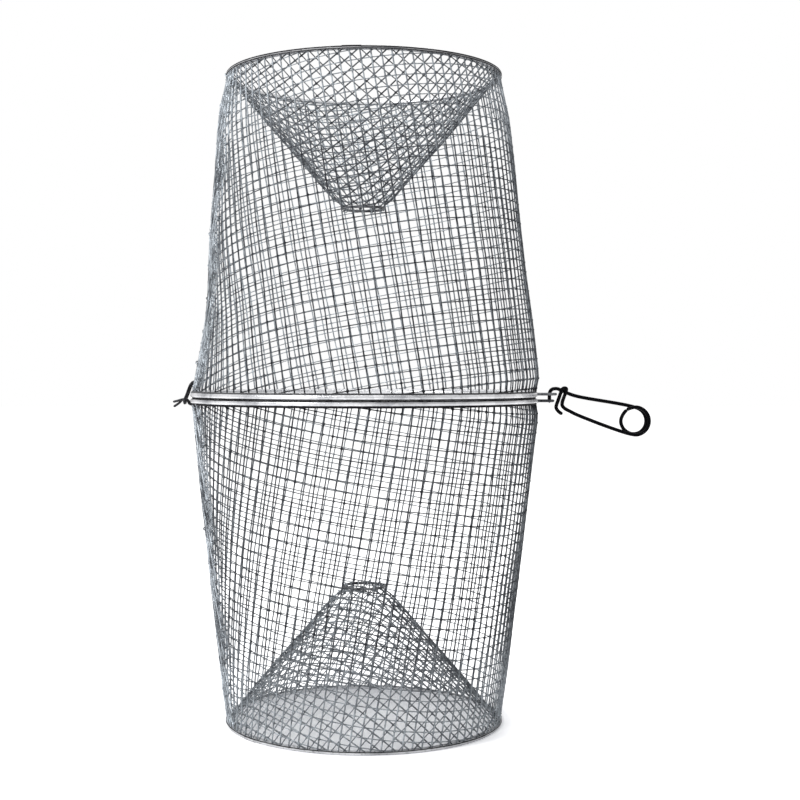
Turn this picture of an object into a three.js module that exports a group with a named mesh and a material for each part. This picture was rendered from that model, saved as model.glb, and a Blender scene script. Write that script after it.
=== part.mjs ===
// A two-part wire minnow trap, standing on its lower end.
// Millimetres. The origin is on the trap's own axis, in the plane where the halves part.
// +Z is up, +X points to the clip and -X to the hooked joint.
import * as THREE from 'three';

// Overall sizes
const midDiameter = 228.6; // over the two hoops
const endDiameter = 182.4; // over the end rims
const halfHeight = 213; // from the parting plane to an end face
const partingGap = 0.3; // between the two hoops
const seatGap = 0.3; // between pieces that touch
const roundSteps = 48; // sides of the large rings
const wireSides = 8; // sides of a round wire
const bendSteps = 2; // steps between two points of a bent wire

// Wire mesh, drawn with fewer and thicker wires than the real sheet
const netWire = 1.6;
const bodyColumns = 24; // wires up the slope of a body
const bodyRows = 8;
const funnelColumns = 16; // wires down a funnel
const funnelRows = 4;

// Hoop, a round rim with a slot for the edge of the mesh
const hoopWire = 3.4;
const hoopSlotDepth = 2.2;
const hoopArcSteps = 8;

// End rim, folded from sheet over the edges of body and funnel
const rimSheet = 0.6;
const rimHeight = 3.2;

// Funnel
const funnelDepth = 88; // from the end face to the mouth ring
const mouthDiameter = 29; // over the mouth ring
const mouthWire = 1.8;
const mouthSteps = 32;

// Eyes for the clip
const eyeWire = 1.6;
const eyeWidth = 6; // clear width inside an eye
const eyeSpread = 2.8; // clear height between the two eyes
const upperEyeReach = 13.7; // from the hoop to the tip
const lowerEyeReach = 12;

// Clip of spring wire
const clipWire = 1.8;
const clipGap = 0.4; // between the frame and the pin, side by side
const clipLength = 56.7; // from the pin in the eyes to the middle of the coil
const coilDrop = 15.6; // the coil hangs this far below the eyes
const coilRadius = 9.2; // to the middle of the wire
const catchSize = 10;
const pinSlack = 0.8; // between the pin and the tip of the lower eye
const pinTail = 0.6; // below the lower eye
const crestRise = 2.8; // middle of the pin's crest above the upper eye

// Hooked joint of the two halves
const jointWire = 1.8;
const keeperWidth = 9.2; // between the middles of the keeper loop's legs
const keeperHeight = 10.3; // of the loop above the parting plane
const keeperLean = 4.3; // the loop's lower bar stands this far out from the hoop
const keeperDrop = 3.7; // lower bar below the parting plane
const prongWidth = 4.2; // between the middles of the prongs
const prongHeight = 1.2; // prongs below the parting plane
const prongReach = 12.4; // from the hoop to the longer prong's end
const prongSplay = 3.6; // one prong's end bends down this far

const degree = Math.PI / 180;
const midRadius = midDiameter / 2;
const endRadius = endDiameter / 2;
const hoopRadius = midRadius - hoopWire / 2;
const hoopHeight = (partingGap + hoopWire) / 2;

// Materials

function metal(color, roughness, metalness) {
  return new THREE.MeshStandardMaterial({ color, roughness, metalness });
}
const galvanizedMesh = metal(0x8f929b, 0.45, 0.9);
const galvanizedRim = metal(0xb4b8bd, 0.35, 0.9);
const galvanizedWire = metal(0x9a9da4, 0.4, 0.9);
const springWire = metal(0x1b1b1f, 0.4, 0.7);

function piece(name, geometry, material) {
  const mesh = new THREE.Mesh(geometry, material);
  mesh.name = name;
  return mesh;
}

// A ring turned about Z from a closed clockwise outline of [radius, height] points
function turned(outline, steps) {
  const points = outline.map(([radius, height]) => new THREE.Vector2(radius, height)).reverse();
  points.push(points[0].clone());
  return new THREE.LatheGeometry(points, steps).rotateX(90 * degree);
}

// A curve whose steps are shared out between its points, so that tight bends get short steps
class Route extends THREE.CatmullRomCurve3 {
  getUtoTmapping(share) {
    return share;
  }
}

// A round wire along a smooth route through the points
function bentWire(points, diameter) {
  const section = [];
  for (let side = 0; side < wireSides; side += 1) {
    const angle = ((side + 0.5) / wireSides) * 360 * degree;
    section.push(new THREE.Vector2(Math.cos(angle), Math.sin(angle)).multiplyScalar(diameter / 2));
  }
  const route = new Route(points, false, 'centripetal');
  return new THREE.ExtrudeGeometry(new THREE.Shape(section), {
    steps: (points.length - 1) * bendSteps,
    bevelEnabled: false,
    extrudePath: route,
  });
}

// A net rolled into a cone between two edge rings. Its wires have a diamond section.
// Each edge ring is drawn in parts between two sloping wires, to follow a rounder seat.
function rolledNet(low, high, around, rows, lowParts, highParts) {
  const half = netWire / 2;
  const length = Math.hypot(high.radius - low.radius, high.height - low.height);
  const outward = (high.radius - low.radius) / length;
  const upward = (high.height - low.height) / length;
  const positions = [];
  const faces = [];

  // A point on the cone, moved east around it, up the slope and out from it
  function point(turn, along, east, up, out) {
    const angle = (turn / around) * 360 * degree;
    const radius = low.radius + outward * (along + up) + upward * out;
    const height = low.height + upward * (along + up) - outward * out;
    positions.push(
      radius * Math.cos(angle) - east * Math.sin(angle),
      radius * Math.sin(angle) + east * Math.cos(angle),
      height,
    );
    return positions.length / 3 - 1;
  }

  // Four sides between two sections, each given as outer, left, inner and right points
  function bar(start, end) {
    for (const [a, b, c, d] of [
      [start[0], end[0], end[1], start[1]],
      [start[1], end[1], end[2], start[2]],
      [start[2], end[2], end[3], start[3]],
      [start[3], end[3], end[0], start[0]],
    ]) {
      faces.push(a, b, c, a, c, d);
    }
  }

  const crossings = [];
  for (let row = 0; row <= rows; row += 1) {
    const along = (row / rows) * length;
    crossings.push([]);
    for (let turn = 0; turn < around; turn += 1) {
      const crossing = {
        outer: point(turn, along, 0, 0, half),
        inner: point(turn, along, 0, 0, -half),
      };
      if (row === 0) {
        crossing.southeast = point(turn, along, 0, -half, 0);
        crossing.southwest = crossing.southeast;
      } else {
        crossing.southeast = point(turn, along, half, -half, 0);
        crossing.southwest = point(turn, along, -half, -half, 0);
      }
      if (row === rows) {
        crossing.northeast = point(turn, along, 0, half, 0);
        crossing.northwest = crossing.northeast;
      } else {
        crossing.northeast = point(turn, along, half, half, 0);
        crossing.northwest = point(turn, along, -half, half, 0);
      }
      crossings[row].push(crossing);
    }
  }

  for (let row = 0; row <= rows; row += 1) {
    const along = (row / rows) * length;
    const parts = row === 0 ? lowParts : row === rows ? highParts : 1;
    for (let turn = 0; turn < around; turn += 1) {
      const here = crossings[row][turn];
      const next = crossings[row][(turn + 1) % around];
      let section = [here.outer, here.northeast, here.inner, here.southeast];
      for (let part = 1; part < parts; part += 1) {
        const between = turn + part / parts;
        const middle = [
          point(between, along, 0, 0, half),
          point(between, along, 0, half, 0),
          point(between, along, 0, 0, -half),
          point(between, along, 0, -half, 0),
        ];
        bar(section, middle);
        section = middle;
      }
      bar(section, [next.outer, next.northwest, next.inner, next.southwest]);
      if (row < rows) {
        const above = crossings[row + 1][turn];
        bar(
          [here.outer, here.northwest, here.inner, here.northeast],
          [above.outer, above.southwest, above.inner, above.southeast],
        );
      }
    }
  }

  const geometry = new THREE.BufferGeometry();
  geometry.setAttribute('position', new THREE.Float32BufferAttribute(positions, 3));
  geometry.setIndex(faces);
  geometry.computeVertexNormals();
  return geometry;
}

// One half, drawn as the upper one: hoop at the bottom, end rim at the top

// Places of the mesh edges inside hoop and rim
const slotHalf = netWire / 2 + seatGap;
const slotFloor = hoopHeight + hoopWire / 2 - hoopSlotDepth;
const bodyFoot = { radius: hoopRadius, height: slotFloor + seatGap + netWire / 2 };
const edgeHeight = halfHeight - rimSheet - seatGap - netWire / 2;
const bodyHead = { radius: endRadius - rimSheet - seatGap - netWire / 2, height: edgeHeight };
const funnelHead = { radius: bodyHead.radius - netWire - seatGap, height: edgeHeight };

// The funnel's small end sits on the mouth ring, in line with its slope
const mouthRadius = (mouthDiameter - mouthWire) / 2;
const mouthHeight = halfHeight - funnelDepth;
const funnelAngle = Math.atan2(funnelHead.radius - mouthRadius, funnelHead.height - mouthHeight);
const funnelStart = (mouthWire + netWire) / 2 + seatGap;
const funnelFoot = {
  radius: mouthRadius + funnelStart * Math.sin(funnelAngle),
  height: mouthHeight + funnelStart * Math.cos(funnelAngle),
};

function hoop() {
  const rim = Math.acos(slotHalf / (hoopWire / 2));
  const sweep = 180 * degree + 2 * rim;
  const outline = [[hoopRadius + slotHalf, slotFloor]];
  for (let step = 0; step <= hoopArcSteps; step += 1) {
    const angle = rim - (step / hoopArcSteps) * sweep;
    outline.push([
      hoopRadius + (hoopWire / 2) * Math.cos(angle),
      hoopHeight + (hoopWire / 2) * Math.sin(angle),
    ]);
  }
  outline.push([hoopRadius - slotHalf, slotFloor]);
  return turned(outline, roundSteps);
}

function endRim() {
  const insideWall = endRadius - rimSheet;
  const lipFace = funnelHead.radius - netWire / 2 - seatGap;
  const clear = netWire / 2 + seatGap;
  const lipFoot = edgeHeight + clear * Math.tan(funnelAngle / 2);
  return turned(
    [
      [endRadius, halfHeight],
      [endRadius, halfHeight - rimHeight],
      [insideWall, halfHeight - rimHeight],
      [insideWall, halfHeight - rimSheet],
      [lipFace, halfHeight - rimSheet],
      [lipFace, lipFoot],
      [lipFace - rimSheet, lipFoot],
      [lipFace - rimSheet, halfHeight],
    ],
    roundSteps,
  );
}

function mouthRing() {
  const ring = new THREE.TorusGeometry(mouthRadius, mouthWire / 2, wireSides, mouthSteps);
  return ring.translate(0, 0, mouthHeight);
}

// A wire loop that stands out from the hoop and takes the pin of the clip
const eyeHeight = (eyeSpread + eyeWire) / 2;
function clipEye(reach) {
  const bend = (eyeWidth + eyeWire) / 2;
  const root = midRadius + seatGap;
  const middle = midRadius + reach - eyeWire / 2 - bend;
  const points = [new THREE.Vector3(root, -bend, eyeHeight)];
  for (let turn = -90; turn <= 90; turn += 30) {
    const angle = turn * degree;
    points.push(
      new THREE.Vector3(middle + bend * Math.cos(angle), bend * Math.sin(angle), eyeHeight),
    );
  }
  points.push(new THREE.Vector3(root, bend, eyeHeight));
  return bentWire(points, eyeWire);
}

function half(side, eyeReach) {
  const group = new THREE.Group();
  const edgeParts = roundSteps / bodyColumns;
  group.add(
    piece(`${side}_hoop`, hoop(), galvanizedRim),
    piece(
      `${side}_body_mesh`,
      rolledNet(bodyFoot, bodyHead, bodyColumns, bodyRows, edgeParts, edgeParts),
      galvanizedMesh,
    ),
    piece(`${side}_end_rim`, endRim(), galvanizedRim),
    piece(
      `${side}_funnel_mesh`,
      rolledNet(
        funnelFoot,
        funnelHead,
        funnelColumns,
        funnelRows,
        mouthSteps / funnelColumns,
        roundSteps / funnelColumns,
      ),
      galvanizedMesh,
    ),
    piece(`${side}_funnel_mouth_ring`, mouthRing(), galvanizedWire),
    piece(`${side}_clip_eye`, clipEye(eyeReach), galvanizedWire),
  );
  return group;
}

const upperHalf = half('upper', upperEyeReach);
const lowerHalf = half('lower', lowerEyeReach);
lowerHalf.scale.z = -1;

// Hooked joint. The keeper loop goes in through the upper mesh and down behind the hoop.
// Its lower bar hangs under the prongs, and the upper half turns about that bar.
const behindHoop = midRadius - hoopWire - seatGap - jointWire / 2;
const barRadius = midRadius + keeperLean;

function keeperLoop() {
  const side = keeperWidth / 2;
  const corner = jointWire;
  const top = keeperHeight;
  const inside = behindHoop - seatGap;
  const outside = midRadius + seatGap;
  // Radius, offset from the middle and height, up the inside and down the outside
  const leg = [
    [behindHoop, side, hoopHeight / 2],
    [behindHoop, side, hoopHeight + hoopWire],
    [inside, side, top * 0.8],
    [inside + jointWire, side, top],
    [outside - jointWire, side, top],
    [outside, side, top * 0.8],
    [barRadius - (barRadius - outside) * 0.4, side, top * 0.2],
    [barRadius, side, corner - keeperDrop],
    [barRadius, side - corner, -keeperDrop],
  ];
  const points = leg.map(([radius, y, z]) => new THREE.Vector3(-radius, y, z));
  const mirrored = points.map((p) => new THREE.Vector3(p.x, -p.y, p.z)).reverse();
  return bentWire([...points, new THREE.Vector3(-barRadius, 0, -keeperDrop), ...mirrored], jointWire);
}

// The prongs are the two ends of one wire that bends round behind the lower hoop
function hookProngs() {
  const side = prongWidth / 2;
  const under = partingGap / 2 + hoopWire + seatGap + jointWire / 2;
  const outer = midRadius + seatGap + jointWire / 2;
  const end = midRadius + prongReach;
  const leg = [
    [behindHoop, side * 0.6, -hoopHeight * 0.6],
    [behindHoop, side, -hoopHeight],
    [behindHoop, side, -under * 0.8],
    [behindHoop + jointWire / 2, side, -under],
    [midRadius - jointWire / 2, side, -under],
    [outer, side, -under * 0.85],
    [outer + jointWire / 2, side, -under * 0.5],
    [barRadius - jointWire / 4, side, -prongHeight],
    [barRadius + jointWire, side, -prongHeight],
  ];
  const place = ([radius, y, z]) => new THREE.Vector3(-radius, y, z);
  const straight = [...leg, [end - prongHeight, side, -prongHeight]];
  const splayed = [
    ...leg,
    [barRadius + 2 * jointWire, side, -prongHeight - prongSplay * 0.25],
    [end, side, -prongHeight - prongSplay],
  ];
  const front = straight.map(place).map((p) => new THREE.Vector3(p.x, -p.y, p.z)).reverse();
  return bentWire([...front, ...splayed.map(place)], jointWire);
}

upperHalf.add(piece('upper_keeper_loop', keeperLoop(), galvanizedWire));
const lowerHook = piece('lower_hook_prongs', hookProngs(), galvanizedWire);

// Clip, like a safety pin. X is measured from the pin in the eyes, Z from the parting plane.
const pinPlace = midRadius + lowerEyeReach - eyeWire - pinSlack - clipWire / 2;
const clipSide = (clipWire + clipGap) / 2;

function coilPoint(angle, radius, y) {
  return new THREE.Vector3(
    clipLength + radius * Math.cos(angle * degree),
    y,
    radius * Math.sin(angle * degree) - coilDrop,
  );
}

// Coil, lower leg, the catch beside the pin and the end laid back along the leg
const frameTurns = [180, 148, 116, 84, 52, 20, -12, -44, -76, -109];
const catchShares = [
  [1.93, -1.2],
  [1.35, -0.92],
  [0.96, -0.7],
  [0.83, -0.52],
  [0.84, -0.3],
  [1.1, 0.46],
  [1.1, 0.58],
  [1.02, 0.62],
  [0.92, 0.6],
  [0.86, 0.5],
  [0.61, -0.22],
  [0.51, -0.43],
  [0.56, -0.64],
  [0.74, -0.82],
  [0.98, -0.98],
];

function clipFrame() {
  const points = frameTurns.map((angle) => coilPoint(angle, coilRadius, -clipSide));
  for (const [along, up] of catchShares) {
    points.push(new THREE.Vector3(along * catchSize, -clipSide, up * catchSize));
  }
  return bentWire(points, clipWire);
}

// Rest of the coil, upper leg and the end that drops through both eyes
const pinTurns = [180, 217, 254, 291, 328, 365, 402, 438];
const pinRadiusShares = [1, 0.98, 0.95, 0.9, 0.84, 0.82, 0.86, 0.94];
const shoulderShares = [
  [1.7, 0.19, 1],
  [0.9, 0.72, 1],
  [0.56, 0.98, 0.6],
  [0.34, 1, 0.2],
  [0.15, 0.9, 0],
  [0.03, 0.62, 0],
  [0, 0.25, 0],
];

function clipPin() {
  const crest = eyeHeight + eyeWire / 2 + crestRise;
  const points = pinTurns.map((angle, turn) =>
    coilPoint(angle, coilRadius * pinRadiusShares[turn], clipSide),
  );
  for (const [along, up, side] of shoulderShares) {
    points.push(new THREE.Vector3(along * catchSize, side * clipSide, up * crest));
  }
  points.push(new THREE.Vector3(0, 0, -eyeHeight - eyeWire / 2 - pinTail));
  return bentWire(points, clipWire);
}

const clip = new THREE.Group();
clip.position.x = pinPlace;
clip.add(
  piece('clip_frame', clipFrame(), springWire),
  piece('clip_pin', clipPin(), springWire),
);

const minnowTrap = new THREE.Group();
minnowTrap.add(lowerHalf, lowerHook, upperHalf, clip);

export default minnowTrap;
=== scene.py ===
import math
import random

import bpy
import numpy as np
from mathutils import Matrix, Vector, noise
from mathutils.geometry import interpolate_bezier


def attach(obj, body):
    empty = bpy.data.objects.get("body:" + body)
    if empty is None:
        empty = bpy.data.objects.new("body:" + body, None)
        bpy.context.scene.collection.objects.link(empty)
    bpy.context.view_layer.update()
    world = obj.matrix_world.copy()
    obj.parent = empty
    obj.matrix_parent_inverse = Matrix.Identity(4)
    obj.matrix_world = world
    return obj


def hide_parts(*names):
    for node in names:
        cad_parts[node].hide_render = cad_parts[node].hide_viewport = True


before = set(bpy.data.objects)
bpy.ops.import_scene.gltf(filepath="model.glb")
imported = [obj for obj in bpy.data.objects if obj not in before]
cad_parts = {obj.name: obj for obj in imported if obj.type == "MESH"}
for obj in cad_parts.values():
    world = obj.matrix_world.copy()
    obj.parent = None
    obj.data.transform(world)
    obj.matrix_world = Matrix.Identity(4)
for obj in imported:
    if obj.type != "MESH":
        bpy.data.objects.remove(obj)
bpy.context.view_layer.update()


# Body meshes: two cones of quarter-inch galvanized wire cloth, plain steel wires laid square on
# each other and held at each crossing by the zinc that they were dipped in. Each is cut as part
# of a ring, rolled up and lapped on the hinge side, where the cut wire ends are bent over.
mm = 0.001
trap_end = 213 * mm  # each end's distance from the plane where the halves part
cloth_wire = 0.79 * mm
wire_shares = (1.2, 0.84)  # the wires up the slope are thicker than those across
cloth_pitch = 6.35 * mm
cloth_waves = (55 * mm, 0.8 * mm)  # length and height of the waves that rolling leaves
wire_drift = (17 * mm, 0.35 * mm)  # and of the sideways bends of single wires
held_edge = 20 * mm  # nearer to its rims than this, the cloth lies truer and truer
bead_sizes = (0.66 * mm, 1.04 * mm)  # least and largest radius of the zinc at a crossing
body_foot = (112.7 * mm, 1.55 * mm)  # radius and height of the edge in the hoop
body_head = (89.4 * mm, 212 * mm)  # and of the edge in the end rim
body_facing = math.radians(-11)  # here the wires run straight up the slope
body_lap = (math.radians(189), 24 * mm)  # where the sheet's end lies over its start, and how far
lap_ramp = 9 * mm  # the two layers part over this much cloth
mouth_tuck = 11 * mm  # a funnel draws in over this much cloth to meet its mouth ring


def smooth(share):
    """Eases from 0 to 1."""
    share = min(max(share, 0), 1)
    return share * share * (3 - 2 * share)


def pick(*things):
    """Leaves only these objects selected, the first one active."""
    bpy.ops.object.select_all(action="DESELECT")
    for thing in things:
        thing.select_set(True)
    bpy.context.view_layer.objects.active = things[0]


def from_lists(name, points, edges, faces):
    """A new object with this mesh."""
    mesh = bpy.data.meshes.new(name)
    mesh.from_pydata(points, edges, faces)
    thing = bpy.data.objects.new(name, mesh)
    bpy.context.scene.collection.objects.link(thing)
    return thing


def round_wire(name, routes, diameter, sides, lumps=0, round_ends=False):
    """Round wires along lists of points. Zinc or handling makes them a little uneven."""
    lump_size = 2.2 * mm
    points, edges = [], []
    for route in routes:
        edges += [(len(points) + step, len(points) + step + 1) for step in range(len(route) - 1)]
        points += route
    wire = from_lists(name, points, edges, [])
    pick(wire)
    bpy.ops.object.convert(target="CURVE")
    wire = bpy.context.object
    wire.data.dimensions = "3D"
    wire.data.fill_mode = "FULL"
    wire.data.bevel_depth = diameter / 2
    wire.data.bevel_resolution = sides // 2 - 2  # gives this many sides
    wire.data.use_fill_caps = True
    for spline in wire.data.splines:
        line = [point.co.xyz for point in spline.points]
        for point, place in zip(spline.points, line):
            point.radius = 1 + lumps * noise.noise(place / lump_size)
            if round_ends:
                tip = min((place - line[0]).length, (place - line[-1]).length) / (diameter / 2)
                point.radius *= math.sqrt(max(1 - (1 - min(tip, 1)) ** 2, 0.02))
    bpy.ops.object.convert(target="MESH")
    wire = bpy.context.object
    bpy.ops.object.shade_smooth()
    return wire


def straight_runs(on_sheet, reach):
    """Start and end of each stretch of a straight wire that lies on the cut sheet."""
    margin, stride, halvings = mm, 0.5 * mm, 12
    along = np.arange(-reach - margin, reach + margin, stride)
    ends = []
    for change in np.flatnonzero(np.diff(on_sheet(along).astype(int))):
        start, end = along[change], along[change + 1]
        for _ in range(halvings):
            middle = (start + end) / 2
            if on_sheet(middle) == on_sheet(start):
                start = middle
            else:
                end = middle
        ends.append((start + end) / 2)
    return list(zip(ends[::2], ends[1::2]))


def rolled_cloth(
    name,
    low,
    high,
    facing,
    lap,
    step,
    seed,
    bulge,
    ring=None,
    inner_shade=0,
    outer_shade=1,
    lap_shade=0.04,
):
    """A cone of wire cloth from the low edge to the high one, each given as radius and height.
    The sheet is laid out flat, and its wires are straight lines there before it is rolled.
    It bulges out by a function of the angle and of the share of the way up. With a ring, given
    as radius, height and wire, the wire ends are turned over it. The inner and the outer shade
    say how much painted shade darkens each side of the wires, and the lap shade what share of
    that there is between the dark patches of the lap."""
    dice = random.Random(seed)
    slope = math.dist(low, high)
    sine = abs(high[0] - low[0]) / slope
    outward = ((high[1] - low[1]) / slope, (low[0] - high[0]) / slope)
    rise = (high[1] - low[1]) / (high[0] - low[0])
    narrow, wide = sorted((low[0] / sine, high[0] / sine))
    lap_start, lap = lap
    first_turn, last_turn = [(lap_start + turn - facing) * sine for turn in (-2 * math.pi, 0)]
    tuck = ring[2] / 2 + cloth_wire if ring else 0

    def on_sheet(u, v):
        reach, turn = np.hypot(u, v), np.arctan2(v, u)
        return (
            (reach > narrow)
            & (reach < wide)
            & (turn > first_turn)
            & (turn < last_turn + lap / reach)
        )

    def place(u, v, out):
        """A point of the flat sheet where it is on the cone, moved out from it."""
        flat = Vector((u, v, seed * 0.1))
        reach, turn = math.hypot(u, v), math.atan2(v, u)
        free = smooth(min(reach - narrow, wide - reach) / held_edge)
        drift = noise.noise(flat / wire_drift[0]) * wire_drift[1] * free
        over = smooth((turn - last_turn) * reach / lap_ramp + 1)
        under = smooth((first_turn - turn) * reach / lap_ramp + 1 + lap / lap_ramp)
        half_apart = cloth_wire * (0.3 + 0.65 * free)  # the rims press the layers together
        out += (over - under) * half_apart
        out += noise.noise(flat / cloth_waves[0]) * cloth_waves[1] * free
        out -= tuck * smooth(1 - (reach - narrow) / mouth_tuck)
        angle = facing + (turn + drift / reach) / sine
        out += bulge(angle, (reach * sine - low[0]) / (high[0] - low[0]))
        radius = reach * sine + outward[0] * out
        height = low[1] + (reach * sine - low[0]) * rise + outward[1] * out
        return Vector((radius * math.cos(angle), radius * math.sin(angle), height))

    def turned_over(end, before, side):
        """The end of a wire, taken round the ring in the throat."""
        angle = math.atan2(end.y, end.x)
        east = Vector((-math.sin(angle), math.cos(angle), 0))
        lean = (end - before).normalized().dot(east)
        round_ring = tuck - side
        start = math.atan2(-outward[1], -outward[0])
        bend = math.radians(24)
        curl = []
        for count in range(1, dice.randrange(6, 9)):
            turn = start + count * bend
            here = angle + lean * round_ring * count * bend / ring[0]
            radius = ring[0] + round_ring * math.cos(turn)
            height = ring[1] + round_ring * math.sin(turn)
            curl.append(Vector((radius * math.cos(here), radius * math.sin(here), height)))
        return curl

    def twisted_end(end, before, layer):
        """The cut end of a wire at the lap, wound round the layer beside it."""
        angle = math.atan2(end.y, end.x)
        out = Vector((outward[0] * math.cos(angle), outward[0] * math.sin(angle), outward[1]))
        ahead = (end - before).normalized()
        ahead = (ahead - ahead.dot(out) * out).normalized()
        along = ahead.cross(out)
        size = dice.uniform(0.7, 1.2) * mm
        middle = end - out * layer * size
        bend, onward = math.radians(42), 0.13 * mm
        twist = []
        for count in range(1, dice.randrange(5, 12)):
            turn = bend * count
            around = out * layer * math.cos(turn) + ahead * math.sin(turn)
            twist.append(middle + size * around + along * count * onward)
        return twist

    # Two layers of wires: where the sheet faces, the outer one runs up it, the inner one across
    first_wire = [dice.uniform(0, cloth_pitch), dice.uniform(0, cloth_pitch)]
    layer_out = 0.45 * cloth_wire
    shortest_wire, least_stretch, at_edge = 2 * mm, 0.8 * mm, 0.1 * mm
    end_stray, end_bend = 0.3 * mm, 0.6 * mm
    downward = -0.3  # only wires that come down to the mouth this steeply are turned over
    families = []
    lines = int(wide / cloth_pitch) + 1
    for family, side in ((0, layer_out), (1, -layer_out)):
        routes = []
        for line in range(-lines, lines + 1):
            across = line * cloth_pitch + first_wire[family]
            start_at = first_wire[1 - family]

            def flat(along):
                return (along, across) if family == 0 else (across, along)

            for start, end in straight_runs(lambda along: on_sheet(*flat(along)), wide):
                if end - start < shortest_wire:
                    continue
                first_stop = int((start - start_at) / step) - 1
                last_stop = int((end - start_at) / step) + 1
                stops = [start_at + stop * step for stop in range(first_stop, last_stop + 1)]
                stops = [
                    stop for stop in stops if start + least_stretch < stop < end - least_stretch
                ]
                route = [place(*flat(stop), side) for stop in (start, *stops, end)]
                for tip, inner in ((-1, -2), (0, 1)):
                    u, v = flat(end if tip else start)
                    reach, turn = math.hypot(u, v), math.atan2(v, u)
                    added = []
                    if narrow + at_edge < reach < wide - at_edge:
                        layer = 1 if turn > (first_turn + last_turn) / 2 else -1
                        stray = Vector([dice.gauss(0, end_stray) for _ in range(3)])
                        bent = side + layer * dice.uniform(0, end_bend)
                        route[tip] = place(u, v, bent) + stray
                        added = twisted_end(route[tip], route[inner], layer)
                    elif ring and reach < narrow + at_edge:
                        if (route[tip] - route[inner]).normalized().z < downward:
                            added = turned_over(route[tip], route[inner], side)
                    route = route + added if tip else added[::-1] + route
                routes.append(route)
        thick = cloth_wire * wire_shares[family]
        families.append(round_wire(name, routes, thick, 6, lumps=0.16))

    # A bead of zinc at each crossing but those on the mouth ring, larger near the hoop
    bead_out, on_ring = 0.15 * mm, 2 * mm
    hoop_extra, hoop_reach, hoop_fade = 0.2 * mm, 34 * mm, 22 * mm
    bpy.ops.mesh.primitive_ico_sphere_add(subdivisions=1, radius=1)
    drop = bpy.context.object
    corners = [corner.co.copy() for corner in drop.data.vertices]
    sides = [tuple(side.vertices) for side in drop.data.polygons]
    bpy.data.objects.remove(drop)
    points, faces = [], []
    for row in range(-lines, lines + 1):
        u = row * cloth_pitch + first_wire[1]
        for column in range(-lines, lines + 1):
            v = column * cloth_pitch + first_wire[0]
            if on_sheet(u, v) and math.hypot(u, v) > narrow + on_ring:
                faces += [tuple(len(points) + corner for corner in side) for side in sides]
                middle = place(u, v, bead_out)
                by_hoop = smooth((hoop_reach - middle.z) / hoop_fade)
                size = dice.uniform(*bead_sizes) + dice.uniform(0, hoop_extra) * by_hoop
                points += [middle + corner * size for corner in corners]
    beads = from_lists(name + "_beads", points, [], faces)
    pick(beads)
    bpy.ops.object.shade_smooth()
    pick(*families, beads)
    bpy.ops.object.join()
    wires = bpy.context.object

    # Painted shade, kept in the weather attribute: the outward side of the wires gets more than
    # the inward one, the clip side, away from the key lamp, gets more, at the lap it is left off
    # in patches, and towards the end rim it fades
    count = len(wires.data.vertices)
    places, normals = np.empty(count * 3), np.empty(count * 3)
    wires.data.vertices.foreach_get("co", places)
    wires.data.vertices.foreach_get("normal", normals)
    places, normals = places.reshape(-1, 3), normals.reshape(-1, 3)
    angles = np.arctan2(places[:, 1], places[:, 0])
    faces_out = normals[:, 0] * np.cos(angles) + normals[:, 1] * np.sin(angles)
    weather = inner_shade + (outer_shade - inner_shade) * np.clip(faces_out * 1.6 + 0.5, 0, 1)
    lap_middle = lap_start + lap / 2 / (100 * mm)
    to_lap = (angles - lap_middle + math.pi) % (2 * math.pi) - math.pi
    to_lap = np.abs(to_lap) * np.hypot(places[:, 0], places[:, 1]) - lap / 2
    mottle_edge = 7 * mm
    mottle_waves = np.array([(1.5, 0.2, 0.8), (0.4, 1.9, -0.6), (0.9, -0.6, 1.7)])
    mottle = np.sin(places / mm @ mottle_waves).sum(axis=1)
    mottle = np.where(mottle > 0.5, 1, lap_shade)
    weather += (1 - weather) * 0.5 * np.clip(np.cos(angles), 0, 1)
    weather *= mottle + (1 - mottle) * np.clip(to_lap / mottle_edge, 0, 1)
    fade_start, shade_fade = (190 * mm, 0.1) if ring else (150 * mm, 0.55)
    to_rim = (places[:, 2] - fade_start) / (trap_end - fade_start)
    weather *= 1 - shade_fade * np.clip(to_rim * 1.6, 0, 1)
    marks = wires.data.attributes.new("weather", "FLOAT", "POINT")
    marks.data.foreach_set("value", weather)
    return wires


def lower_copy(thing, name):
    """Mirrors a piece of the upper half at the parting plane, for the lower one."""
    thing.name = thing.data.name = name
    thing.data.transform(Matrix.Diagonal((1, 1, -1, 1)))
    thing.data.flip_normals()
    return thing


class Tone:
    """A value or colour of a finish, so that sums of them are written as plain expressions."""

    def __init__(self, tree, socket=None):
        self.tree = tree
        self.socket = socket

    def node(self, kind, settings, inputs, output=0):
        node = self.tree.nodes.new(kind)
        for name, value in settings.items():
            if name == "stops":
                for place, _ in value[2:]:
                    node.color_ramp.elements.new(place)
                for element, (place, grey) in zip(node.color_ramp.elements, value):
                    element.position = place
                    element.color = (grey, grey, grey, 1)
            else:
                setattr(node, name, value)
        for name, value in inputs.items():
            if isinstance(value, Tone):
                self.tree.links.new(value.socket, node.inputs[name])
            else:
                node.inputs[name].default_value = value
        return Tone(self.tree, node.outputs[output])

    def into(self, node, name):
        self.tree.links.new(self.socket, node.inputs[name])

    def sum(self, operation, first, second):
        return self.node("ShaderNodeMath", {"operation": operation}, {0: first, 1: second})

    def __add__(self, other):
        return self.sum("ADD", self, other)

    __radd__ = __add__

    def __sub__(self, other):
        return self.sum("SUBTRACT", self, other)

    def __rsub__(self, other):
        return self.sum("SUBTRACT", other, self)

    def __mul__(self, other):
        return self.sum("MULTIPLY", self, other)

    __rmul__ = __mul__


def new_finish(name):
    """A new material, its shader, and the place on the piece."""
    finish = bpy.data.materials.new(name)
    finish.use_nodes = True
    place = Tone(finish.node_tree).node("ShaderNodeTexCoord", {}, {}, "Object")
    return finish, finish.node_tree.nodes["Principled BSDF"], place


def cloudy(place, size, detail=2):
    """Soft patches of about this size."""
    return place.node(
        "ShaderNodeTexNoise", {}, {"Vector": place, "Scale": 1 / size, "Detail": detail}
    )


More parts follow.
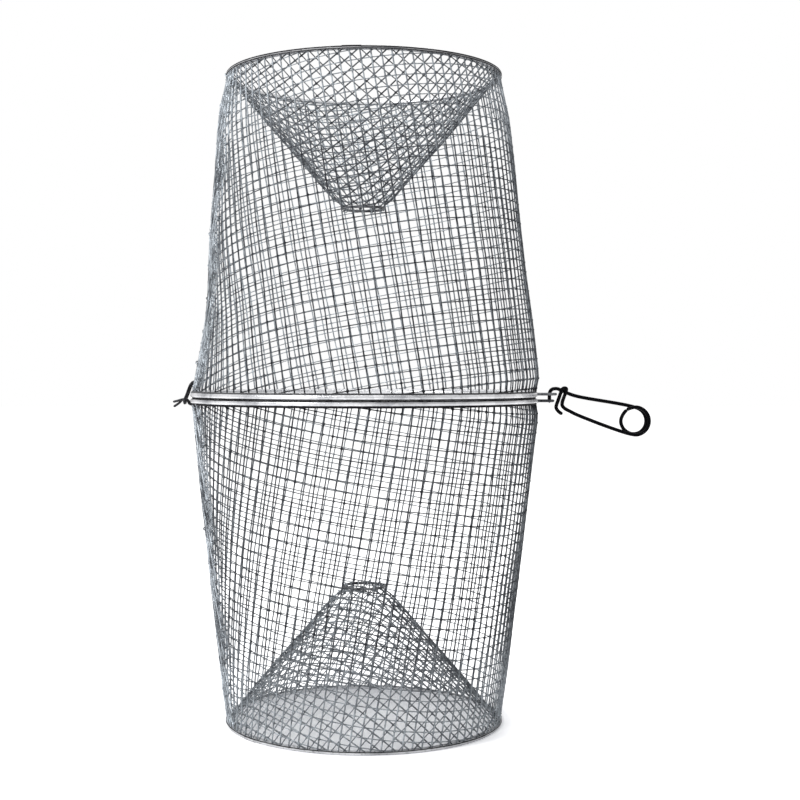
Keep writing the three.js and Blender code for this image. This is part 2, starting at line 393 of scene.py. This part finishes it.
def spots(value, start, end):
    """Only the highest parts of a pattern."""
    return value.node("ShaderNodeValToRGB", {"stops": [(start, 0), (end, 1)]}, {"Fac": value})


def blend(share, first, second):
    """One colour painted over another."""
    return share.node(
        "ShaderNodeMix",
        {"data_type": "RGBA", "clamp_factor": True},
        {0: share, 6: first, 7: second},
        2,
    )


def from_axis(place):
    """Distance from the trap's axis."""
    flat = place.node("ShaderNodeVectorMath", {"operation": "MULTIPLY"}, {0: place, 1: (1, 1, 0)})
    return flat.node("ShaderNodeVectorMath", {"operation": "LENGTH"}, {0: flat}, "Value")


def galvanized(
    name,
    dark,
    pale,
    roughness,
    metallic,
    cloud,
    stained,
    shade_levels,
    spangle=None,
    outside=None,
    side_shade_colour=None,
):
    """Dipped zinc: clouds of dark and pale grey, dull dark stains and a fine grain, and crystals
    of the spangle's size on sheet. The shade levels are a list of distances from the parting
    plane, in millimetres, with the strength of a painted shade at each. With an outside radius,
    in millimetres, that painted shade lies only farther out than that, and within it a painted
    light makes the zinc brighter. With a side shade colour, the painted shade that the weather
    attribute marks has that colour."""
    finish, zinc, place = new_finish(name)
    clouds = spots(cloudy(place, cloud, 3), 0.35, 0.65)
    if spangle:
        crystals = place.node(
            "ShaderNodeTexVoronoi", {}, {"Vector": place, "Scale": 1 / spangle}, "Color"
        )
        clouds = clouds * 0.5 + crystals * 0.5
    stain_size, grain_size = 1.6 * mm, 0.35 * mm
    waver_size, waver = 6 * mm, 0.4 * mm  # the painted shade's edge moves up and down this much
    stain_colour = [0.45 * part for part in dark]
    shade_black = (0.006, 0.006, 0.008, 1)
    stains = spots(cloudy(place, stain_size), 0.56, 0.66)
    grain = cloudy(place, grain_size)
    colour = blend(clouds, (*dark, 1), (*pale, 1))
    colour = blend(stains * stained, colour, (*stain_colour, 1))
    level = place.node("ShaderNodeSeparateXYZ", {}, {"Vector": place}, "Z")
    level = level.node("ShaderNodeMath", {"operation": "ABSOLUTE"}, {0: level})
    level = level + (cloudy(place, waver_size) - 0.5) * waver
    start, end = shade_levels[0][0], shade_levels[-1][0]
    stops = [((height - start) / (end - start), strength) for height, strength in shade_levels]
    level = (level - start * mm) * (1 / ((end - start) * mm))
    level_shade = level.node("ShaderNodeValToRGB", {"stops": stops}, {"Fac": level})
    # Painted shade only beyond the outside radius, and painted light within it, where the zinc is
    # made brighter
    if outside:
        radius = from_axis(place)
        outer = radius.sum("GREATER_THAN", radius, outside * mm)
        level_shade = level_shade * outer
        colour = blend((1 - outer) * 0.8, colour, (*pale, 1))
    # Painted shade from the weather attribute: there the zinc takes the side shade colour and
    # less metal, and the level shade is strong mostly there
    if side_shade_colour:
        weather = place.node("ShaderNodeAttribute", {"attribute_name": "weather"}, {}, "Fac")
        colour = blend(weather * (1 - 0.25 * clouds), colour, (*side_shade_colour, 1))
        level_shade = level_shade * (0.15 + 0.85 * weather)
    # Painted shade: black by distance from the parting plane
    colour = blend(level_shade, colour, shade_black)
    colour.into(zinc, "Base Color")
    rough = roughness + 0.16 * clouds + 0.2 * stained * stains + 0.5 * level_shade
    rough.into(zinc, "Roughness")
    sheen = metallic * (1 - level_shade)
    if side_shade_colour:
        sheen = sheen * (1 - 0.8 * weather)
    sheen.into(zinc, "Metallic")
    zinc.inputs["Specular IOR Level"].default_value = 0.15
    bump = place.node(
        "ShaderNodeBump",
        {},
        {"Strength": 0.5, "Distance": 0.12 * mm, "Height": grain + 0.8 * stains + 0.5 * clouds},
    )
    bump.into(zinc, "Normal")
    return finish


clip_bulge = 2.9  # millimetres that the sheet stands out on the clip side


def by_clip(angle):
    """1 on the clip side, and less round from it."""
    return (0.5 + 0.5 * math.cos(angle)) ** 2


def held(share):
    """1 in the middle of the sheet, and 0 at its edges, which hoop and end rim hold."""
    return smooth(share / 0.06) * smooth((1 - share) / 0.16)


def upper_bulge(angle, share):
    """The sheet is also pushed in beside the lap near the hoop, and out near the end rim."""
    lap_side = max(-math.cos(angle), 0) ** 3
    dent = 3.8 * math.exp(-(((share - 0.25) / 0.17) ** 2)) - 2.6 * smooth(share * 2 - 1)
    return (clip_bulge * by_clip(angle) - dent * lap_side) * held(share) * mm


def lower_bulge(angle, share):
    """The sheet lies truer towards the end rim."""
    return (clip_bulge - 2.6 * share) * by_clip(angle) * held(share) * mm


# The cloth's painted shade: darkest within 9 mm of the parting plane, where it goes into the
# hoop, some towards the end rim, and the side shade colour where weather marks it
cloth_finish = galvanized(
    "cloth_zinc",
    dark=(0.27, 0.295, 0.325),
    pale=(0.64, 0.69, 0.735),
    roughness=0.36,
    metallic=0.6,
    cloud=5 * mm,
    stained=0.5,
    shade_levels=((0, 1), (6, 0.9), (9, 0), (208, 0), (209.5, 0.3), (213, 0.4)),
    side_shade_colour=(0.011, 0.012, 0.017),
)
for side, seed, bulge, inside in (
    ("upper", 3, upper_bulge, 0.05),
    ("lower", 8, lower_bulge, 0.45),
):
    name = f"{side}_body_wires"
    body = rolled_cloth(
        name,
        body_foot,
        body_head,
        body_facing,
        body_lap,
        cloth_pitch,
        seed,
        bulge,
        inner_shade=inside,
    )
    if side == "lower":
        lower_copy(body, name)
    body.data.materials.append(cloth_finish)
    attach(body, f"{side}_half")
    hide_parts(f"{side}_body_mesh")


# Hoops: a rim of galvanized sheet rolled round the wide end of each half, a bead with two lips
# that are crimped on the cut edge of the cloth. The two beads rest on each other where the halves
# meet. Painted shade darkens the line between the beads, the upper crimp and the lower bead's
# underside and crimp, and painted light brightens their inner half.
bead_radius = 1.7 * mm
hoop_radius = 112.6 * mm  # to the bead's middle, and the middle's height
hoop_height = 1.85 * mm
hoop_steps = 144
shoulder = 0.45 * mm  # the bead's outer edge is pressed in this near to its middle
parting_gap = 0.03 * mm  # from the bead's flat to the parting plane
lip_bends = [  # in millimetres from the bead's middle, over the lip and down inside it
    (0.84, 1.62),
    (0.98, 1.95),
    (0.94, 2.45),
    (0.7, 2.55),
    (0.56, 2.4),
    (0.5, 1.6),
    (0.3, 0.0),
]


def pick_corners(thing, corners):
    """Goes to edit mode with only these corners of a mesh selected, given by their numbers."""
    bpy.ops.object.mode_set(mode="EDIT")
    bpy.ops.mesh.select_all(action="DESELECT")
    bpy.ops.object.mode_set(mode="OBJECT")
    for corner in corners:
        thing.data.vertices[corner].select = True
    bpy.ops.object.mode_set(mode="EDIT")


def tidy_mesh():
    """Merges doubles and turns all faces outwards, in edit mode."""
    bpy.ops.mesh.select_all(action="SELECT")
    bpy.ops.mesh.remove_doubles(threshold=0.002 * mm)
    bpy.ops.mesh.normals_make_consistent(inside=False)


def spun(section, name, steps, start=0.0, sweep=2 * math.pi):
    """Spins a section about the trap's axis."""
    section.name = section.data.name = name
    pick(section)
    bpy.ops.object.transform_apply(location=True, rotation=True, scale=True)
    section.data.transform(Matrix.Rotation(start, 4, "Z"))
    bpy.ops.object.mode_set(mode="EDIT")
    bpy.ops.mesh.select_all(action="SELECT")
    bpy.ops.mesh.spin(steps=steps, angle=sweep, center=(0, 0, 0), axis=(0, 0, 1))
    tidy_mesh()
    bpy.ops.object.mode_set(mode="OBJECT")
    return section


def by_hand(thing, size, amount):
    """Small dents and waves, as rolling and handling leave them."""
    for corner in thing.data.vertices:
        wave = noise.noise(corner.co / size)
        corner.co.x *= 1 + wave * amount / hoop_radius
        corner.co.y *= 1 + wave * amount / hoop_radius


# Each hoop's painted shade, by distance from the parting plane: the line between the beads, the
# upper crimp, and the shadow under the lower bead; within 112.7 mm, painted light
for side, shade_levels in (
    ("upper", ((0, 1), (0.66, 1), (0.85, 0), (3.3, 0), (3.5, 0.9), (4, 0.9), (5, 0.4))),
    ("lower", ((0, 1), (0.66, 1), (0.85, 0.25), (1.8, 0), (2.95, 0), (3.1, 1), (5, 1))),
):
    hoop_finish = galvanized(
        f"{side}_hoop_zinc",
        dark=(0.24, 0.246, 0.268),
        pale=(0.88, 0.883, 0.9),
        roughness=0.2,
        metallic=0.75,
        cloud=34 * mm,
        stained=0.15,
        shade_levels=shade_levels,
        spangle=9 * mm,
        outside=112.7,
    )
    bpy.ops.object.select_all(action="DESELECT")
    bpy.ops.mesh.primitive_circle_add(
        vertices=28,
        radius=bead_radius,
        location=(hoop_radius, 0, hoop_height),
        rotation=(math.radians(90), 0, 0),
    )
    section = bpy.context.object
    for corner in section.data.vertices:
        if corner.co.y < -0.7 * bead_radius and corner.co.x > 0:
            corner.co.x = shoulder
        if corner.co.y < -0.88 * bead_radius:
            corner.co.y = parting_gap - hoop_height
    top = 0.7 * bead_radius
    pick_corners(section, [corner.index for corner in section.data.vertices if corner.co.y > top])
    bpy.ops.mesh.delete(type="VERT")
    bpy.ops.object.mode_set(mode="OBJECT")
    for turn in (1, -1):
        tip = max(section.data.vertices, key=lambda corner: corner.co.y + turn * corner.co.x)
        last = (tip.co.x, tip.co.y)
        pick_corners(section, [tip.index])
        for out, up in lip_bends:
            step = (turn * out * mm - last[0], 0, up * mm - last[1])
            last = (turn * out * mm, up * mm)
            bpy.ops.mesh.extrude_region_move(TRANSFORM_OT_translate={"value": step})
        bpy.ops.object.mode_set(mode="OBJECT")
    by_middle = sorted(section.data.vertices, key=lambda corner: corner.co.xy.length)
    pick_corners(section, [corner.index for corner in by_middle[:2]])
    bpy.ops.mesh.edge_face_add()
    bpy.ops.object.mode_set(mode="OBJECT")
    hoop = spun(section, f"{side}_rim_hoop", hoop_steps)
    by_hand(hoop, 38 * mm, 0.12 * mm)
    pick(hoop)
    bpy.ops.object.shade_smooth_by_angle(angle=math.radians(50))
    if side == "lower":
        lower_copy(hoop, "lower_rim_hoop")
    hoop.data.materials.append(hoop_finish)
    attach(hoop, f"{side}_half")
    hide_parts(f"{side}_hoop")


# Funnels: the way in at each end, a steep cone of the same cloth that ends in a small mouth near
# the middle of the half. Its wire ends are turned over the mouth ring so that nothing sharp is
# left in the throat.
funnel_head = (87.6 * mm, 211.6 * mm)
ring_radius = 13.6 * mm
ring_height = 125 * mm
ring_wire = 1.8 * mm
funnel_lap = (math.radians(172), 8 * mm)
funnel_facings = {"upper": math.radians(-20.8), "lower": math.radians(-11)}

for side, seed, inside, outside in (("upper", 5, 0.35, 0.92), ("lower", 12, 0.25, 0.6)):
    name = f"{side}_funnel_wires"
    funnel = rolled_cloth(
        name,
        (ring_radius, ring_height),
        funnel_head,
        funnel_facings[side],
        funnel_lap,
        cloth_pitch / 2,
        seed,
        lambda angle, share: 0,
        (ring_radius, ring_height, ring_wire),
        inner_shade=inside,
        outer_shade=outside,
        lap_shade=1,
    )
    if side == "lower":
        lower_copy(funnel, name)
    funnel.data.materials.append(cloth_finish)
    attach(funnel, f"{side}_half")
    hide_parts(f"{side}_funnel_mesh")


# Mouth rings: a ring of galvanized wire in each funnel's small end, which keeps the mouth round
# and open. Its two ends are butted and joined by a small weld at the back.
weld_angle = 1.9
weld_reach = 1.1 * mm
no_shade = ((0, 0), (213, 0))

wire_finish = galvanized(
    "wire_zinc",
    dark=(0.035, 0.036, 0.042),
    pale=(0.2, 0.205, 0.215),
    roughness=0.28,
    metallic=0.55,
    cloud=7 * mm,
    stained=0.5,
    shade_levels=no_shade,
)
for side, turn in (("upper", 1), ("lower", -1)):
    bpy.ops.object.select_all(action="DESELECT")
    bpy.ops.mesh.primitive_torus_add(
        major_radius=ring_radius,
        minor_radius=ring_wire / 2,
        major_segments=72,
        minor_segments=12,
        location=(0, 0, turn * ring_height),
    )
    ring = bpy.context.object
    ring.name = ring.data.name = f"{side}_mouth_wire"
    bpy.ops.object.transform_apply(location=True, rotation=True, scale=True)
    for corner in ring.data.vertices:
        angle = math.atan2(corner.co.y, corner.co.x)
        weld = math.exp(-(((angle - weld_angle) * ring_radius / weld_reach) ** 2))
        core = Vector((math.cos(angle), math.sin(angle), 0)) * ring_radius
        core.z = turn * ring_height
        corner.co += (corner.co - core) * (0.3 * weld + 0.04 * noise.noise(corner.co / (3 * mm)))
    bpy.ops.object.shade_smooth()
    ring.data.materials.append(wire_finish)
    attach(ring, f"{side}_half")
    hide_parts(f"{side}_funnel_mouth_ring")


# End rims: a band of galvanized sheet folded over the end of each half, which clamps the edges of
# body and funnel together. Its outer wall stands round the body, its top is the flat that the
# trap rests on, and its ends are lapped.
rim_sheet = 0.6 * mm
rim_outline = [  # radius and height of the outer face's bends in millimetres
    (91.05, 210.75),
    (91.05, 212.85),
    (85.95, 212.85),
    (85.95, 210.95),
]
rim_bend = 0.75 * mm
rim_joints = {"upper": math.radians(-91), "lower": math.radians(-138)}
flap_rise = 0.15 * mm  # the lapped end stands out this much, and is this thick and long
flap_sheet = 0.2 * mm
flap_sweep = math.radians(7.5)


def folded_band(name, grow, sheet, steps, start, sweep):
    """A band folded from sheet along the rim's outline, grown outwards by a little or nothing,
    and spun round the trap's end."""
    radii, heights = zip(*rim_outline)
    corners = []
    for radius, height in rim_outline:
        out = (grow if radius == max(radii) else -grow, grow if height == max(heights) else 0)
        corners.append((radius * mm + out[0], 0, height * mm + out[1]))
    band = from_lists(name, corners, [(0, 1), (1, 2), (2, 3)], [])
    pick(band)
    pick_corners(band, (1, 2))
    bpy.ops.mesh.bevel(affect="VERTICES", offset=rim_bend, segments=4)
    bpy.ops.object.mode_set(mode="OBJECT")
    spun(band, name, steps, start, sweep)
    top = max(band.data.polygons, key=lambda face: face.center.z)
    if top.normal.z < 0:
        band.data.flip_normals()
    thick = band.modifiers.new("Sheet", "SOLIDIFY")
    thick.thickness = sheet
    thick.offset = -1
    bpy.ops.object.modifier_apply(modifier=thick.name)
    return band


# Each end rim's painted shade, by distance from the parting plane, lies on the outer wall's face
# near its lower edge and near the fold; within 90.75 mm, painted light
for side, shade_levels in (
    ("upper", ((210, 1), (211.15, 1), (211.4, 0.45), (211.75, 0.45), (211.95, 1), (213, 1))),
    ("lower", ((210, 1), (211.2, 1), (211.4, 0.1), (212.4, 0), (212.6, 0.7), (213, 0.9))),
):
    rim_finish = galvanized(
        f"{side}_rim_zinc",
        dark=(0.3, 0.305, 0.32),
        pale=(0.8, 0.805, 0.82),
        roughness=0.24,
        metallic=0.7,
        cloud=16 * mm,
        stained=0.4,
        shade_levels=shade_levels,
        spangle=7 * mm,
        outside=90.75,
    )
    name = f"{side}_end_band"
    band = folded_band(name, 0, rim_sheet, hoop_steps, 0, 2 * math.pi)
    flap = folded_band(f"{name}_lap", flap_rise, flap_sheet, 6, rim_joints[side], flap_sweep)
    pick(band, flap)
    bpy.ops.object.join()
    by_hand(band, 30 * mm, 0.1 * mm)
    bpy.ops.object.shade_smooth_by_angle(angle=math.radians(40))
    if side == "lower":
        lower_copy(band, name)
    band.data.materials.append(rim_finish)
    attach(band, f"{side}_half")
    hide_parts(f"{side}_end_rim")


# Clip eyes: a loop of galvanized wire on each hoop, soldered on beside the parting line. The two
# lie over each other, and the pin of the clip goes down through both.
eye_wire = 1.8 * mm
eye_height = 2.2 * mm
eye_bend = 3.8 * mm  # radius of the loop, to the middle of the wire
eye_foot = 113.4 * mm
eye_tips = {"upper": 128 * mm, "lower": 126.3 * mm}
solder_place = (114.3 * mm, 2.3 * mm)  # radius and height of the drops at its feet
solder_size = (1.3 * mm, 1.5 * mm, 1.0 * mm)
solder_lumps = (1.1 * mm, 0.25 * mm)  # their size and height


def bent_route(points, cuts=6):
    """The smooth line of a wire through the points of its bends."""
    points = [Vector(point) for point in points]
    ends = [2 * points[0] - points[1], *points, 2 * points[-1] - points[-2]]
    route = []
    for before, start, end, after in zip(ends, ends[1:], ends[2:], ends[3:]):
        first = math.sqrt((start - before).length)
        middle = math.sqrt((end - start).length)
        last = math.sqrt((after - end).length)
        straight = (end - start) / middle
        leave = (start - before) / first - (end - before) / (first + middle) + straight
        arrive = straight - (after - start) / (middle + last) + (after - end) / last
        handles = start + leave * middle / 3, end - arrive * middle / 3
        route += interpolate_bezier(start, *handles, end, cuts + 1)[:-1]
    return [*route, points[-1]]


for side, turn in (("upper", 1), ("lower", -1)):
    middle = eye_tips[side] - eye_wire / 2 - eye_bend
    points = [(eye_foot, -eye_bend, turn * eye_height)]
    for angle in range(-90, 91, 30):
        out = middle + eye_bend * math.cos(math.radians(angle))
        points.append((out, eye_bend * math.sin(math.radians(angle)), turn * eye_height))
    points.append((eye_foot, eye_bend, turn * eye_height))
    name = f"{side}_pin_eye"
    eye = round_wire(name, [bent_route(points)], eye_wire, 12, lumps=0.05)
    solder = []
    for foot in (-eye_bend, eye_bend):
        bpy.ops.mesh.primitive_uv_sphere_add(
            segments=14,
            ring_count=8,
            radius=1,
            location=(solder_place[0], foot, turn * solder_place[1]),
            scale=solder_size,
        )
        drop = bpy.context.object
        bpy.ops.object.transform_apply(location=True, rotation=True, scale=True)
        for corner in drop.data.vertices:
            lump = noise.noise(corner.co / solder_lumps[0]) * solder_lumps[1]
            corner.co += corner.normal * lump
        bpy.ops.object.shade_smooth()
        solder.append(drop)
    pick(eye, *solder)
    bpy.ops.object.join()
    eye.data.materials.append(wire_finish)
    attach(eye, f"{side}_half")
    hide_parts(f"{side}_clip_eye")


# Hooked joint: a galvanized wire loop goes in through the cloth above the upper hoop and hangs
# down outside, and a two-pronged wire is bent round the lower hoop. The loop's bar hooks under
# the prongs, and the halves turn on it like a loose hinge.
joint_wire = 1.6 * mm
hoop_outside = 114.3  # this and the rest in millimetres, like the points of the legs
behind_hoop = 109.7
bar_radius = 118.6
keeper_side = 4.6
prong_side = 2.1

keeper_leg = [
    (behind_hoop, keeper_side, 0.93),
    (behind_hoop, keeper_side, 5.25),
    (behind_hoop - 0.3, keeper_side, 8.24),
    (behind_hoop + 1.5, keeper_side, 10.3),
    (hoop_outside - 1.5, keeper_side, 10.3),
    (hoop_outside + 0.3, keeper_side, 8.24),
    (bar_radius - 1.6, keeper_side, 2.06),
    (bar_radius, keeper_side, -1.9),
    (bar_radius, keeper_side - 1.8, -3.7),
]
prong_leg = [
    (behind_hoop, prong_side * 0.6, -1.11),
    (behind_hoop, prong_side, -1.85),
    (behind_hoop, prong_side, -3.8),
    (behind_hoop + 0.9, prong_side, -4.75),
    (hoop_outside - 0.9, prong_side, -4.75),
    (hoop_outside + 1.2, prong_side, -4.04),
    (hoop_outside + 2.1, prong_side, -2.38),
    (bar_radius - 0.45, prong_side, -1.2),
    (bar_radius + 1.8, prong_side, -1.35),
]


def on_left(points, mirror=1):
    """Radius, side and height in millimetres, as a place on the hinge side."""
    return [(-radius * mm, mirror * side * mm, height * mm) for radius, side, height in points]


keeper_points = [
    *on_left(keeper_leg),
    *on_left([(bar_radius, 0, -3.7)]),
    *on_left(keeper_leg, -1)[::-1],
]
prong_points = [
    *on_left([*prong_leg, (123, prong_side, -2.1), (126.3, prong_side, -2.9)], -1)[::-1],
    *on_left([*prong_leg, (122.4, prong_side, -3.4), (126.5, prong_side, -6.3)]),
]
# Painted shade: the joint's galvanized wire is coloured near black, as dark as it looks in shade
joint_finish = galvanized(
    "joint_zinc",
    dark=(0.006, 0.006, 0.008),
    pale=(0.04, 0.04, 0.045),
    roughness=0.3,
    metallic=0.6,
    cloud=4 * mm,
    stained=0.5,
    shade_levels=no_shade,
)
for name, points, node, half in (
    ("keeper_loop_wire", keeper_points, "upper_keeper_loop", "upper_half"),
    ("prong_wire", prong_points, "lower_hook_prongs", "lower_half"),
):
    route = bent_route(points, 8)
    wire = round_wire(name, [route], joint_wire, 14, lumps=0.04, round_ends=True)
    wire.data.materials.append(joint_finish)
    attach(wire, half)
    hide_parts(node)


# Clip: one length of black spring wire, like a big safety pin. It is wound into a coil, its lower
# leg ends in a hairpin catch with the wire end laid back along the leg, and its upper leg is
# turned down into the pin that goes through both eyes.
clip_wire = 2.4 * mm
pin_place = 123 * mm  # the pin's distance from the trap's axis
clip_side = 1.1 * mm  # the legs lie this far on each side of the clip's middle
coil_middle = (56.7 * mm, -15.6 * mm)  # out from the pin, and up
coil_radius = 9.2 * mm
crest = 5.8  # the upper leg's height over the parting plane in millimetres


def coil_point(angle, share, side):
    """A point of the coil, from its angle, its share of the coil's radius and its side."""
    angle = math.radians(angle)
    return (
        pin_place + coil_middle[0] + share * coil_radius * math.cos(angle),
        side,
        coil_middle[1] + share * coil_radius * math.sin(angle),
    )


# Round the coil, along the lower leg, up and over the catch, and back along the leg
frame_points = [
    coil_point(angle, 1, -clip_side) for angle in (128, 116, 84, 52, 20, -12, -44, -76, -109)
]
for along, up in (
    (19.3, -12), (13.5, -9.2), (9.6, -7), (8.3, -5.2), (8.4, -3),
    (11, 4.6), (11, 5.8), (10.2, 6.2), (9, 6), (8.1, 4.9),
    (5.5, -2.2), (4.5, -5), (4.3, -6.9), (5.6, -9), (8.5, -11.2),
):  # fmt: skip
    frame_points.append((pin_place + along * mm, -clip_side, up * mm))

# From the same place over to the coil's other side, nearly once round it, along the upper leg and
# down to the tip of the pin
pin_points = [
    coil_point(angle, 1, side * clip_side)
    for angle, side in ((126, -1), (140, -1), (158, -0.55), (175, 0.7), (190, 1))
]
for angle, share in (
    (217, 0.98), (254, 0.95), (291, 0.9), (328, 0.84), (365, 0.82), (402, 0.86), (438, 0.94),
):  # fmt: skip
    pin_points.append(coil_point(angle, share, clip_side))
for along, up, side in (
    (17, 0.19, 1), (9, 0.72, 1), (5.6, 0.98, 0.6), (3.4, 1, 0.2), (1.5, 0.9, 0), (0.3, 0.62, 0),
    (0, 0.25, 0), (0, -3.6 / crest, 0),
):  # fmt: skip
    pin_points.append((pin_place + along * mm, side * clip_side, up * crest * mm))

spring_finish, steel, place = new_finish("spring_steel")
worn = spots(cloudy(place, 3.2 * mm, 3), 0.54, 0.7)
scale_marks = cloudy(place, 0.4 * mm)
colour = blend(worn, (0.002, 0.002, 0.003, 1), (0.01, 0.01, 0.011, 1))
colour.into(steel, "Base Color")
rough = 0.34 + 0.2 * scale_marks + 0.1 * worn
rough.into(steel, "Roughness")
steel.inputs["Metallic"].default_value = 0.6
steel.inputs["Specular IOR Level"].default_value = 0.05
bump = place.node(
    "ShaderNodeBump", {}, {"Strength": 0.4, "Distance": 0.06 * mm, "Height": scale_marks}
)
bump.into(steel, "Normal")

for name, points, node, half in (
    ("clip_frame_wire", frame_points, "clip_frame", "clip"),
    ("clip_pin_wire", pin_points, "clip_pin", "clip_arm"),
):
    route = bent_route(points, 8)
    wire = round_wire(name, [route], clip_wire, 16, lumps=0.02, round_ends=True)
    wire.data.materials.append(spring_finish)
    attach(wire, half)
    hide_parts(node)


# Studio floor: a wide white board that the trap stands on. It keeps the trap's soft shadow
# under and inside it, and painted shade darkens it more within the trap's foot, where the board
# glows only dim and bluish; round that the board glows until it is as white as the air behind it.
bpy.ops.mesh.primitive_plane_add(size=16, location=(0, 0, -trap_end))
floor = bpy.context.object
floor.name = "floor"
bpy.ops.object.transform_apply(location=True, rotation=True, scale=True)
shade_edge = (83 * mm, 106 * mm)  # radii over which the painted shade under the trap gives way to the glow
glow_edge = (90 * mm, 500 * mm)  # and over which it turns white

board, paint, place = new_finish("white_board")
paint.inputs["Base Color"].default_value = (0.8, 0.8, 0.8, 1)
paint.inputs["Roughness"].default_value = 0.9
paint.inputs["Specular IOR Level"].default_value = 0


def seen(tree):
    """1 for rays from the camera, and for those that metal and glass send on."""
    paths = [
        Tone(tree).node("ShaderNodeLightPath", {}, {}, ray)
        for ray in ("Is Camera Ray", "Is Glossy Ray", "Is Transmission Ray")
    ]
    total = paths[0] + paths[1] + paths[2]
    return total.node("ShaderNodeMath", {"operation": "MINIMUM"}, {0: total, 1: 1.0})


away = from_axis(place)
# Painted shade within the trap's foot: a dim bluish glow there, brighter round it
glow = blend(spots(away, *shade_edge), (0.2, 0.206, 0.225, 1), (0.78, 0.785, 0.8, 1))
glow = blend(spots(away, *glow_edge), glow, (1, 1, 1, 1))
glow.into(paint, "Emission Color")
seen(board.node_tree).into(paint, "Emission Strength")
floor.data.materials.append(board)


# Studio light: white air all round, which is faint on dull surfaces, and two wide soft lamps, the
# stronger one high on the left in front of the trap, the other above it.
dull_light = 0.22  # of the air on dull surfaces, where the air that is seen has 1
world = bpy.data.worlds.new("studio_air")
bpy.context.scene.world = world
world.use_nodes = True
air = world.node_tree.nodes["Background"]
air.inputs["Color"].default_value = (1, 1, 1, 1)
strength = dull_light + seen(world.node_tree) * (1 - dull_light)
strength.into(air, "Strength")

for name, spot, size, power in (
    ("key_lamp", (-1.3, -1.0, 1.4), 0.7, 38),
    ("top_lamp", (0.1, 0.2, 1.9), 1.2, 16),
):
    lamp = bpy.data.lights.new(name, "AREA")
    lamp.shape = "DISK"
    lamp.size = size
    lamp.energy = power
    stand = bpy.data.objects.new(name, lamp)
    stand.location = spot
    stand.rotation_euler = (-Vector(spot)).to_track_quat("-Z", "Y").to_euler()
    bpy.context.scene.collection.objects.link(stand)


# Camera: level, just above the middle of the trap, about four trap widths in front of it. The
# lens is shifted to place the trap a little left of the picture's middle.
lens = bpy.data.cameras.new("camera")
lens.lens = 63.65
lens.sensor_width = 36
lens.shift_x = 0.0451
lens.shift_y = -0.0362
camera = bpy.data.objects.new("camera", lens)
camera.location = (0, -0.9377, 0.0175)
camera.rotation_euler = (math.radians(90), 0, 0)
bpy.context.scene.collection.objects.link(camera)
bpy.context.scene.camera = camera
bpy.context.scene.view_settings.view_transform = "Standard"
